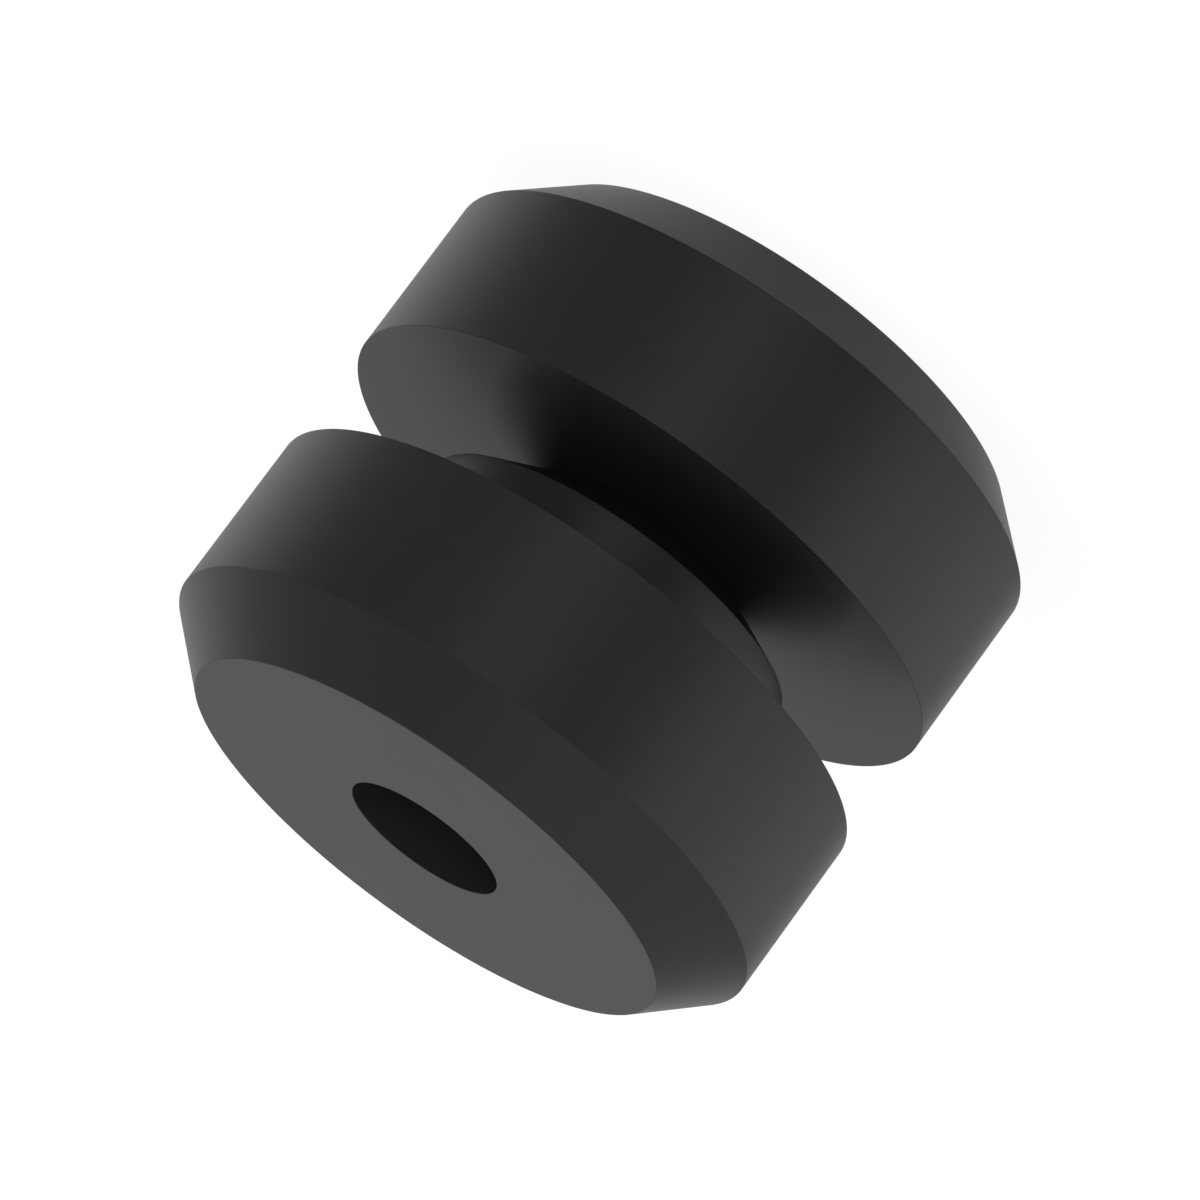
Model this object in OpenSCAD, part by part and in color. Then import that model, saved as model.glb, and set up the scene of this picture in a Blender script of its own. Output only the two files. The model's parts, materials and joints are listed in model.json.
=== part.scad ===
// Vibration isolator for a bolted plate, in two rubber mouldings on one bolt axis, which is Z.
// The bushing's boss fills the plate's hole, and its tapered tip seats on the ring.
// The ring stands on its flat outer end, and the bushing stands on the ring, boss down.

/* [Discs] */
// Outside diameter of the bushing's flange and of the ring
disc_d = 25.4; // [20:0.1:40]
// Thickness of the bushing's flange, from the plate to the outer end
flange_h = 8.97; // [5:0.01:16]
// Thickness of the ring, from the plate to the outer end
ring_h = 8.97; // [5:0.01:16]
// Bevel at 45 degrees round each outer end, measured along the axis
bevel = 2.39; // [0.5:0.01:4.5]

/* [Boss] */
// Diameter of the boss, which fits the hole in the plate
boss_d = 15.7; // [12:0.1:19]
// Length of the boss's straight side, below the flange
boss_h = 2.94; // [1:0.01:10]
// Length of the tapered tip, below the straight side
tip_h = 2.04; // [0.5:0.01:6]
// Diameter of the tip's flat end, which seats on the ring
tip_d = 8.64; // [8:0.01:11.5]

/* [Bolt] */
// Diameter of the bolt that holds the isolator to its plate
bolt_d = 6.35; // [3:0.05:7]
// Difference in diameter between the bore and the bolt
bolt_gap = 0.1; // [0.1:0.05:0.8]

/* [Hidden] */
$fn = 128;

disc_r = disc_d / 2;
boss_r = boss_d / 2;
tip_r = tip_d / 2;
bore_r = (bolt_d + bolt_gap) / 2;
// Width of the groove that takes the plate
groove_w = boss_h + tip_h;
black_rubber = [0.11, 0.11, 0.115];

// Half section of a disc, from its plate face round its bevelled outer end and back to the bore
function disc_section(height) = [
    [disc_r, 0],
    [disc_r, height - bevel],
    [disc_r - bevel, height],
    [bore_r, height],
];

// Half section of the boss, from the tip's seat up to the corner under the flange
function boss_section() = [
    [bore_r, -groove_w],
    [tip_r, -groove_w],
    [boss_r, -boss_h],
    [boss_r, 0],
];

// The flange and the boss are one moulding, so one section runs round both.
module bushing() {
    color(black_rubber)
        translate([0, 0, ring_h + groove_w])
            rotate_extrude()
                polygon(concat(boss_section(), disc_section(flange_h)));
}

module ring() {
    color(black_rubber)
        translate([0, 0, ring_h])
            mirror([0, 0, 1])
                rotate_extrude()
                    polygon(concat([[bore_r, 0]], disc_section(ring_h)));
}

bushing();
ring();
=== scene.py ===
"""Studio scene of a rubber vibration isolator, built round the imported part.

A bushing with a stepped, tapered boss stands on a bevelled ring, on one upright bolt axis. Both
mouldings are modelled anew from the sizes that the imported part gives, dressed in satin black
rubber, and set on a plain white floor.
"""

import json
import logging
import math
from dataclasses import dataclass, field
from enum import Enum
from typing import Any

import bpy
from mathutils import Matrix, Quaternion, Vector


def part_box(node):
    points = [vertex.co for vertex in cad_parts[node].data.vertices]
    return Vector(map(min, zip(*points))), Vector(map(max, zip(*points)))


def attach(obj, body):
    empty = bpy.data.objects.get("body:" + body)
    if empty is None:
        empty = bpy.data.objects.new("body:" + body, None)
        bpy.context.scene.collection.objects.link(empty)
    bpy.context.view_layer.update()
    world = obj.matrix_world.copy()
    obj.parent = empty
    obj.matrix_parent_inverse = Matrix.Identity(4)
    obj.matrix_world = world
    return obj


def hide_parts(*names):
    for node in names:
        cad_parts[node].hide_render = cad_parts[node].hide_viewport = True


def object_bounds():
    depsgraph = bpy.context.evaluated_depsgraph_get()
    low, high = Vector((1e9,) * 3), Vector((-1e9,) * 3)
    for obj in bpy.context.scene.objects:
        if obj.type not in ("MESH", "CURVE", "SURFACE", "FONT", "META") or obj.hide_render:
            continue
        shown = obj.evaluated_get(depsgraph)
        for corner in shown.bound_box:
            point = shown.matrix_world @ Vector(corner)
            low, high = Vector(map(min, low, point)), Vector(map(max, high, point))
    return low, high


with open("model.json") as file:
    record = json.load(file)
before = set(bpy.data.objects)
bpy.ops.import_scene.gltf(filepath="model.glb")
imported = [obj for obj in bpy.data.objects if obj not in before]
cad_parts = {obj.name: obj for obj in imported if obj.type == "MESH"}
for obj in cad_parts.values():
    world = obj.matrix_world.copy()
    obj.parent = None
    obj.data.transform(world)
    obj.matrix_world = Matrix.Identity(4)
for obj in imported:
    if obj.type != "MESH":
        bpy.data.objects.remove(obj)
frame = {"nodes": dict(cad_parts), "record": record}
CAD_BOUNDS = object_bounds()

Colour = tuple[float, float, float, float]
Inputs = dict[str | int, Any]

MM = 0.001
LOG = logging.getLogger("isolator")

# Vertices of a CAD node count as level, or as equally far out, within this distance.
NEAR = 0.005 * MM
# Vertices of a new mesh merge within this distance.
MERGE_DISTANCE = 0.001 * MM

WHITE: Colour = (1.0, 1.0, 1.0, 1.0)
PALE: Colour = (0.8, 0.8, 0.8, 1.0)

# The middle of what a noise texture gives.
NOISE_MIDDLE = 0.5
# A Mix node's colour sockets share their names with its others, so their places tell them apart.
MIX_FIRST_COLOUR = 6
MIX_SECOND_COLOUR = 7
MIX_COLOUR_RESULT = 2


class Value:
    """A number that a shader socket gives, on which Python's operators add Math nodes."""

    def __init__(self, graph: "Graph", socket: bpy.types.NodeSocket | None) -> None:
        """Wraps one output socket.

        Args:
            graph: The graph that the socket belongs to.
            socket: The output socket, or none for a node that ends the graph.
        """
        self.graph = graph
        self.socket = socket

    def _math(self, operation: str, first: "Value | float", second: "Value | float") -> "Value":
        """Adds one Math node.

        Args:
            operation: The Math node's operation.
            first: A number or a Value for the first input.
            second: A number or a Value for the second input.

        Returns:
            The node's result.
        """
        return self.graph.add("ShaderNodeMath", {"operation": operation}, {0: first, 1: second})

    def __add__(self, other: "Value | float") -> "Value":
        """Adds a number or a Value."""
        return self._math("ADD", self, other)

    def __radd__(self, other: "Value | float") -> "Value":
        """Adds this to a number."""
        return self._math("ADD", other, self)

    def __sub__(self, other: "Value | float") -> "Value":
        """Takes a number or a Value away."""
        return self._math("SUBTRACT", self, other)

    def __rsub__(self, other: "Value | float") -> "Value":
        """Takes this away from a number."""
        return self._math("SUBTRACT", other, self)

    def __mul__(self, other: "Value | float") -> "Value":
        """Multiplies by a number or a Value."""
        return self._math("MULTIPLY", self, other)

    def __rmul__(self, other: "Value | float") -> "Value":
        """Multiplies a number by this."""
        return self._math("MULTIPLY", other, self)


class Graph:
    """A node tree that is filled by code, starting empty."""

    def __init__(self, owner: bpy.types.Material | bpy.types.World) -> None:
        """Empties the owner's node tree.

        Args:
            owner: The material or world that the nodes are for.
        """
        owner.use_nodes = True
        self.tree = owner.node_tree
        self.tree.nodes.clear()

    def add(
        self, kind: str, settings: dict[str, Any] | None = None, inputs: Inputs | None = None,
        output: str | int = 0,
    ) -> Value:
        """Adds one node.

        Args:
            kind: The node's type.
            settings: Properties of the node, which are set first.
            inputs: Numbers, colours or Values for its input sockets, by name or index.
            output: The output socket that is wanted, by name or index.

        Returns:
            The wanted output.
        """
        node = self.tree.nodes.new(kind)
        for name, setting in (settings or {}).items():
            setattr(node, name, setting)
        for name, given in (inputs or {}).items():
            if isinstance(given, Value):
                self.tree.links.new(given.socket, node.inputs[name])
            else:
                node.inputs[name].default_value = given
        return Value(self, node.outputs[output] if node.outputs else None)


@dataclass(frozen=True)
class Noise:
    """A noise texture in the piece's own space.

    Attributes:
        size: The size of its largest features, in metres.
        detail: How many finer layers it has.
        roughness: How strongly each finer layer shows.
    """

    size: float
    detail: float
    roughness: float

    def build(self, graph: Graph, place: Value) -> Value:
        """Adds the texture.

        Args:
            graph: The material's graph.
            place: The place on the piece.

        Returns:
            The texture's value, from 0 to 1.
        """
        return graph.add(
            "ShaderNodeTexNoise", {"noise_dimensions": "3D"},
            {"Vector": place, "Scale": 1 / self.size, "Detail": self.detail,
             "Roughness": self.roughness},
        )


@dataclass(frozen=True)
class MouldedRubber:
    """Black rubber with the satin skin that a smooth steel mould leaves.

    Attributes:
        name: The material's name.
        dark: The deeper tone of the skin.
        light: The paler tone of the skin.
        ior: The rubber's index of refraction.
        roughness: The mean roughness.
        roughness_spread: How far the roughness strays to each side of its mean.
        clouds: The soft clouds in tone and sheen.
        grain: The mould's fine grain.
        grain_height: The height of that grain, in metres.
    """

    name: str = "moulded_black_rubber"
    dark: Colour = (0.0126, 0.0126, 0.0128, 1.0)
    light: Colour = (0.0148, 0.0148, 0.0150, 1.0)
    ior: float = 1.5
    roughness: float = 0.30
    roughness_spread: float = 0.015
    clouds: Noise = Noise(size=3.5 * MM, detail=3.0, roughness=0.5)
    grain: Noise = Noise(size=0.12 * MM, detail=2.0, roughness=0.6)
    grain_height: float = 0.0004 * MM

    def material(self) -> bpy.types.Material:
        """Builds the material.

        Returns:
            The material.
        """
        made = bpy.data.materials.new(self.name)
        graph = Graph(made)
        place = graph.add("ShaderNodeTexCoord", output="Object")
        clouds = self.clouds.build(graph, place)
        grain = self.grain.build(graph, place)
        tone = graph.add(
            "ShaderNodeMix", {"data_type": "RGBA"},
            {"Factor": clouds, MIX_FIRST_COLOUR: self.dark, MIX_SECOND_COLOUR: self.light},
            output=MIX_COLOUR_RESULT,
        )
        relief = graph.add(
            "ShaderNodeBump", None,
            {"Strength": 1.0, "Distance": self.grain_height, "Height": grain}, output="Normal",
        )
        sheen = self.roughness + (clouds - NOISE_MIDDLE) * (2 * self.roughness_spread)
        skin = graph.add(
            "ShaderNodeBsdfPrincipled", None,
            {"Base Color": tone, "Roughness": sheen, "IOR": self.ior, "Normal": relief},
        )
        graph.add("ShaderNodeOutputMaterial", None, {"Surface": skin})
        return made


@dataclass(frozen=True)
class Corner:
    """One corner of a half section: a ring of that radius at that height.

    Attributes:
        radius: Distance from the bolt axis, in metres.
        height: Height above the part's underside, in metres.
    """

    radius: float
    height: float


@dataclass
class Moulding:
    """A moulded rubber piece, which is its half section carried round the bolt axis.

    Attributes:
        name: The piece's name.
        node: The CAD node that it stands for.
        segments: The number of flat steps round the axis.
        edge_radius: The rounding that the mould leaves on the edges, in metres.
        edge_steps: The number of steps in that rounding.
        edge_limit: Edges that turn by more than this many degrees are rounded.
        flat_limit: Edges that turn by less than this many degrees shade as one surface.
        face_weight: How far large faces outweigh small ones in the shading, from 1 to 100.
    """

    name: str
    node: str
    segments: int = 256
    edge_radius: float = 0.03 * MM
    edge_steps: int = 3
    edge_limit: float = 20.0
    flat_limit: float = 40.0
    face_weight: int = 100

    def corners(self) -> list[Corner]:
        """Lists the half section's corners in order, from the bore's lower end outwards."""
        raise NotImplementedError

    def build(self, skin: bpy.types.Material) -> None:
        """Models the piece, dresses it and puts it in its CAD node's place.

        Args:
            skin: The piece's material.
        """
        piece = self._turn(self.corners())
        self._round_edges(piece)
        piece.data.materials.append(skin)
        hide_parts(self.node)
        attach(piece, "root")
        LOG.info("%s: %d faces in %s", self.name, len(piece.data.polygons), skin.name)

    def _turn(self, corners: list[Corner]) -> bpy.types.Object:
        """Extrudes a ring of edges from corner to corner until the section closes.

        Args:
            corners: The half section's corners in order.

        Returns:
            The closed mesh's object.
        """
        first = corners[0]
        bpy.ops.object.select_all(action="DESELECT")
        bpy.ops.mesh.primitive_circle_add(
            vertices=self.segments, radius=first.radius, location=(0, 0, first.height)
        )
        piece = bpy.context.object
        piece.name = piece.data.name = self.name
        bpy.ops.object.transform_apply(location=True, rotation=False, scale=False)
        bpy.ops.object.mode_set(mode="EDIT")
        bpy.ops.mesh.select_all(action="SELECT")
        here = first
        for corner in [*corners[1:], first]:
            rise = corner.height - here.height
            growth = corner.radius / here.radius
            bpy.ops.mesh.extrude_edges_move(TRANSFORM_OT_translate={"value": (0, 0, rise)})
            bpy.ops.transform.resize(value=(growth, growth, 1), center_override=(0, 0, 0))
            here = corner
        bpy.ops.mesh.select_all(action="SELECT")
        bpy.ops.mesh.remove_doubles(threshold=MERGE_DISTANCE)
        bpy.ops.mesh.normals_make_consistent(inside=False)
        bpy.ops.object.mode_set(mode="OBJECT")
        return piece

    def _round_edges(self, piece: bpy.types.Object) -> None:
        """Rounds the section's corners slightly and keeps the faces between them true.

        Args:
            piece: The closed mesh's object, which is the active one.
        """
        rounding = piece.modifiers.new("rounding", "BEVEL")
        rounding.width = self.edge_radius
        rounding.segments = self.edge_steps
        rounding.limit_method = "ANGLE"
        rounding.angle_limit = math.radians(self.edge_limit)
        bpy.ops.object.modifier_apply(modifier=rounding.name)
        bpy.ops.object.shade_smooth_by_angle(angle=math.radians(self.flat_limit))
        levelling = piece.modifiers.new("levelling", "WEIGHTED_NORMAL")
        levelling.mode = "FACE_AREA"
        levelling.weight = self.face_weight
        levelling.keep_sharp = True
        bpy.ops.object.modifier_apply(modifier=levelling.name)


class NodeProbe:
    """Measures one CAD node, which is round about the Z axis, by its vertices."""

    def __init__(self, node: str) -> None:
        """Takes the node's vertices as pairs of radius and height.

        Args:
            node: The CAD node's name.
        """
        places = [vertex.co for vertex in frame["nodes"][node].data.vertices]
        self.rings = [(math.hypot(place.x, place.y), place.z) for place in places]

    def least_radius(self) -> float:
        """Gives the radius of the node's bore."""
        return min(radius for radius, _ in self.rings)

    def greatest_radius(self) -> float:
        """Gives the node's outside radius."""
        return max(radius for radius, _ in self.rings)

    def radius_at(self, wanted: float) -> float:
        """Gives the greatest radius at a height.

        Args:
            wanted: The height, in metres.

        Returns:
            The radius of the outermost vertices there, in metres.
        """
        return max(radius for radius, height in self.rings if abs(height - wanted) < NEAR)

    def lowest_at(self, wanted: float) -> float:
        """Gives the lowest height at a radius.

        Args:
            wanted: The radius, in metres.

        Returns:
            The height of the lowest vertices there, in metres.
        """
        return min(height for radius, height in self.rings if abs(radius - wanted) < NEAR)


@dataclass(frozen=True)
class IsolatorSizes:
    """The isolator's sizes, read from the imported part, in metres.

    Attributes:
        disc_radius: Radius of the flange and of the ring.
        bore_radius: Radius of the bolt bore.
        boss_radius: Radius of the boss.
        boss_length: Length of the boss's straight side.
        tip_radius: Radius of the tip's flat end.
        ring_bevel: Width of the bevel round the ring's lower end.
        flange_bevel: Width of the bevel round the flange's upper end.
        seat_height: Height of the ring's upper face, on which the tip seats.
        flange_height: Height of the flange's underside.
        top_height: Height of the bushing's outer end.
    """

    disc_radius: float
    bore_radius: float
    boss_radius: float
    boss_length: float
    tip_radius: float
    ring_bevel: float
    flange_bevel: float
    seat_height: float
    flange_height: float
    top_height: float

    @classmethod
    def from_frame(cls) -> "IsolatorSizes":
        """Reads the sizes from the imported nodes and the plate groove's mount.

        Returns:
            The sizes.
        """
        ring, bushing = NodeProbe("ring"), NodeProbe("bushing")
        disc_radius = ring.greatest_radius()
        seat_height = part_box("ring")[1][2]
        top_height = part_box("bushing")[1][2]
        mounts = {mount["name"]: mount for mount in frame["record"]["mounts"]}
        boss = mounts["plate_groove"]["dims"]
        return cls(
            disc_radius=disc_radius,
            bore_radius=ring.least_radius(),
            boss_radius=boss["r_mm"] * MM,
            boss_length=boss["length_mm"] * MM,
            tip_radius=bushing.radius_at(seat_height),
            ring_bevel=disc_radius - ring.radius_at(0),
            flange_bevel=disc_radius - bushing.radius_at(top_height),
            seat_height=seat_height,
            flange_height=bushing.lowest_at(disc_radius),
            top_height=top_height,
        )


@dataclass
class Ring(Moulding):
    """The plain ring that closes the plate's far side.

    Attributes:
        sizes: The isolator's shared sizes.
    """

    sizes: IsolatorSizes = field(kw_only=True)

    def corners(self) -> list[Corner]:
        """Lists the ring's corners from the bore's lower end outwards.

        Returns:
            The corners, in order.
        """
        sizes = self.sizes
        return [
            Corner(sizes.bore_radius, 0),
            Corner(sizes.disc_radius - sizes.ring_bevel, 0),
            Corner(sizes.disc_radius, sizes.ring_bevel),
            Corner(sizes.disc_radius, sizes.seat_height),
            Corner(sizes.bore_radius, sizes.seat_height),
        ]


@dataclass
class Bushing(Moulding):
    """The bushing: a bevelled flange with a boss and a tapered tip under it, in one moulding.

    Attributes:
        sizes: The isolator's shared sizes.
    """

    sizes: IsolatorSizes = field(kw_only=True)

    def corners(self) -> list[Corner]:
        """Lists the bushing's corners from the tip's seat outwards.

        Returns:
            The corners, in order.
        """
        sizes = self.sizes
        return [
            Corner(sizes.bore_radius, sizes.seat_height),
            Corner(sizes.tip_radius, sizes.seat_height),
            Corner(sizes.boss_radius, sizes.flange_height - sizes.boss_length),
            Corner(sizes.boss_radius, sizes.flange_height),
            Corner(sizes.disc_radius, sizes.flange_height),
            Corner(sizes.disc_radius, sizes.top_height - sizes.flange_bevel),
            Corner(sizes.disc_radius - sizes.flange_bevel, sizes.top_height),
            Corner(sizes.bore_radius, sizes.top_height),
        ]


class Ray(Enum):
    """The kinds of ray that the studio answers in their own way."""

    CAMERA = "Is Camera Ray"
    GLOSSY = "Is Glossy Ray"
    TRANSMISSION = "Is Transmission Ray"


@dataclass(frozen=True)
class SoftLight:
    """A broad soft light that shows in the rubber's sheen.

    Attributes:
        turn: Where it stands round the part from the camera's side, towards -X, in degrees.
        elevation: Its height above the horizon, in degrees.
        half_width: The angle from its middle to its faded edge, in degrees.
        strength: Its brightness at the middle, on top of the sheen's own level.
    """

    turn: float
    elevation: float
    half_width: float
    strength: float

    def direction(self) -> Vector:
        """Works out where the light is.

        Returns:
            The unit vector from the part to the light.
        """
        turn, rise = math.radians(self.turn), math.radians(self.elevation)
        level = math.cos(rise)
        return Vector((-math.sin(turn) * level, -math.cos(turn) * level, math.sin(rise)))

    def glow(self, graph: Graph, looking: Value) -> Value:
        """Adds the nodes that give the light's brightness along a direction.

        Args:
            graph: The world's graph.
            looking: The direction that is looked in.

        Returns:
            The brightness, from nothing at the faded edge to the full strength.
        """
        facing = graph.add(
            "ShaderNodeVectorMath", {"operation": "DOT_PRODUCT"},
            {0: looking, 1: self.direction()}, output="Value",
        )
        share = graph.add(
            "ShaderNodeMapRange", {"interpolation_type": "SMOOTHSTEP"},
            {"Value": facing, "From Min": math.cos(math.radians(self.half_width)),
             "From Max": 1.0},
        )
        return share * self.strength


@dataclass(frozen=True)
class Lamp:
    """A square lamp with a plain white shade, aimed at the part.

    Attributes:
        name: The lamp's name.
        place: Where it hangs, in metres.
        size: Length of its sides, in metres.
        power: Its power, in watts.
    """

    name: str
    place: tuple[float, float, float]
    size: float
    power: float

    def build(self) -> None:
        """Hangs the lamp, out of the sheen's sight."""
        bpy.ops.object.light_add(type="AREA", location=self.place)
        lamp = bpy.context.object
        lamp.name = self.name
        lamp.data.size = self.size
        lamp.data.energy = self.power
        lamp.visible_glossy = False
        lamp.rotation_euler = lamp.location.to_track_quat("Z", "Y").to_euler()


@dataclass
class Studio:
    """The plain white studio: its floor, its soft light and its camera.

    Attributes:
        floor_size: Length of the floor's sides, in metres.
        floor_depth: How far the floor lies under the part, in metres.
        floor_white: Brightness of the floor's own white, as the camera sees it.
        floor_share: The share of that white in what the camera sees, over the shadow.
        room_level: Brightness that plain surfaces see on every side.
        sheen_level: Brightness that the sheen shows between the soft lights.
        lights: The soft lights that the sheen shows: at the right and above it, at the left and
            all along the rear, in front, high at the rear, and from below.
        lamps: The lamps: one overhead for the shadow, and a weak one on the camera's side.
        lens: The camera's focal length, in millimetres.
        sensor: The width of the camera's sensor, in millimetres.
        clip: The nearest and the farthest that the camera sees, in metres.
        distance: Distance from the camera to the middle of the part, in metres.
        elevation: The camera's height above the horizon, in degrees.
        roll: The camera's turn about its own line of sight, in degrees.
    """

    floor_size: float = 2.0
    floor_depth: float = 0.02 * MM
    floor_white: float = 1.06
    floor_share: float = 0.88
    room_level: float = 0.8
    sheen_level: float = 0.134
    lights: tuple[SoftLight, ...] = (
        SoftLight(turn=85, elevation=0, half_width=65, strength=0.65),
        SoftLight(turn=45, elevation=50, half_width=45, strength=0.25),
        SoftLight(turn=-130, elevation=-5, half_width=35, strength=0.19),
        SoftLight(turn=-160, elevation=-10, half_width=85, strength=0.375),
        SoftLight(turn=-15, elevation=-10, half_width=25, strength=0.355),
        SoftLight(turn=-160, elevation=65, half_width=40, strength=0.26),
        SoftLight(turn=125, elevation=-70, half_width=30, strength=0.12),
    )
    lamps: tuple[Lamp, ...] = (
        Lamp("overhead", place=(0.15, -0.1, 0.5), size=0.4, power=0.47),
        Lamp("fill", place=(0.0, -0.475, 0.167), size=0.15, power=0.7),
    )
    lens: float = 300.54
    sensor: float = 36.0
    clip: tuple[float, float] = (0.01, 10.0)
    distance: float = 0.3716
    elevation: float = 18.108
    roll: float = -143.62

    def build(self) -> None:
        """Sets up the floor, the light and the camera."""
        self._floor()
        self._world()
        for lamp in self.lamps:
            lamp.build()
        self._camera()

    def _floor(self) -> None:
        """Lays the floor, white to the camera but for the part's soft shadow.

        It is clear from below, and the part's sheen looks past it to the soft lights.
        """
        bpy.ops.object.select_all(action="DESELECT")
        bpy.ops.mesh.primitive_plane_add(size=self.floor_size, location=(0, 0, -self.floor_depth))
        floor = bpy.context.object
        floor.name = "floor"
        floor.visible_glossy = False
        paint = bpy.data.materials.new("floor_paint")
        graph = Graph(paint)
        seen = self._seen(graph)
        under = graph.add("ShaderNodeNewGeometry", output="Backfacing")
        matt = graph.add("ShaderNodeBsdfDiffuse", None, {"Color": PALE})
        white = graph.add(
            "ShaderNodeEmission", None, {"Color": WHITE, "Strength": self.floor_white}
        )
        clear = graph.add("ShaderNodeBsdfTransparent")
        upper = graph.add(
            "ShaderNodeMixShader", None, {0: seen * self.floor_share, 1: matt, 2: white}
        )
        whole = graph.add("ShaderNodeMixShader", None, {0: under, 1: upper, 2: clear})
        graph.add("ShaderNodeOutputMaterial", None, {"Surface": whole})
        floor.data.materials.append(paint)

    @staticmethod
    def _rays(graph: Graph, kind: Ray) -> Value:
        """Gives 1 for one kind of ray and 0 for the others.

        Args:
            graph: The graph to add the node to.
            kind: The kind of ray.

        Returns:
            The mask.
        """
        return graph.add("ShaderNodeLightPath", output=kind.value)

    def _seen(self, graph: Graph) -> Value:
        """Gives 1 for the rays that see the studio's white, straight or through something clear.

        Args:
            graph: The graph to add the nodes to.

        Returns:
            The mask.
        """
        return self._rays(graph, Ray.CAMERA) + self._rays(graph, Ray.TRANSMISSION)

    def _world(self) -> None:
        """Makes the room white to the camera, even to plain surfaces and soft-lit to the sheen.

        An all-white room would show in the rubber's sheen as a grey veil that the photograph
        doesn't have, so the sheen has a dimmer level of its own, with the soft lights on it.
        """
        world = bpy.data.worlds.new("studio")
        bpy.context.scene.world = world
        graph = Graph(world)
        looking = graph.add("ShaderNodeTexCoord", output="Generated")
        sheen: Value | float = self.sheen_level
        for light in self.lights:
            sheen = light.glow(graph, looking) + sheen
        seen = self._seen(graph)
        mirrored = self._rays(graph, Ray.GLOSSY)
        level = seen + mirrored * sheen + (1 - seen - mirrored) * self.room_level
        sky = graph.add("ShaderNodeBackground", None, {"Color": WHITE, "Strength": level})
        graph.add("ShaderNodeOutputWorld", None, {"Surface": sky})

    def _camera(self) -> None:
        """Aims the camera at the middle of the part, from the photograph's side."""
        low, high = CAD_BOUNDS
        middle = (low + high) / 2
        rise = math.radians(self.elevation)
        back = Vector((0, -math.cos(rise), math.sin(rise)))
        bpy.ops.object.camera_add(location=middle + back * self.distance)
        camera = bpy.context.object
        camera.name = "camera"
        camera.rotation_mode = "QUATERNION"
        level = (-back).to_track_quat("-Z", "Y")
        camera.rotation_quaternion = level @ Quaternion((0, 0, 1), math.radians(self.roll))
        camera.data.lens = self.lens
        camera.data.sensor_width = self.sensor
        camera.data.clip_start, camera.data.clip_end = self.clip
        bpy.context.scene.camera = camera


def main() -> None:
    """Builds both mouldings and the studio round them."""
    logging.basicConfig(level=logging.INFO, format="%(name)s: %(message)s")
    bpy.context.scene.view_settings.view_transform = "Standard"
    sizes = IsolatorSizes.from_frame()
    skin = MouldedRubber().material()
    for moulding in (
        Ring("ring_moulding", "ring", sizes=sizes),
        Bushing("bushing_moulding", "bushing", sizes=sizes),
    ):
        moulding.build(skin)
    Studio().build()


if __name__ == "__main__":
    main()
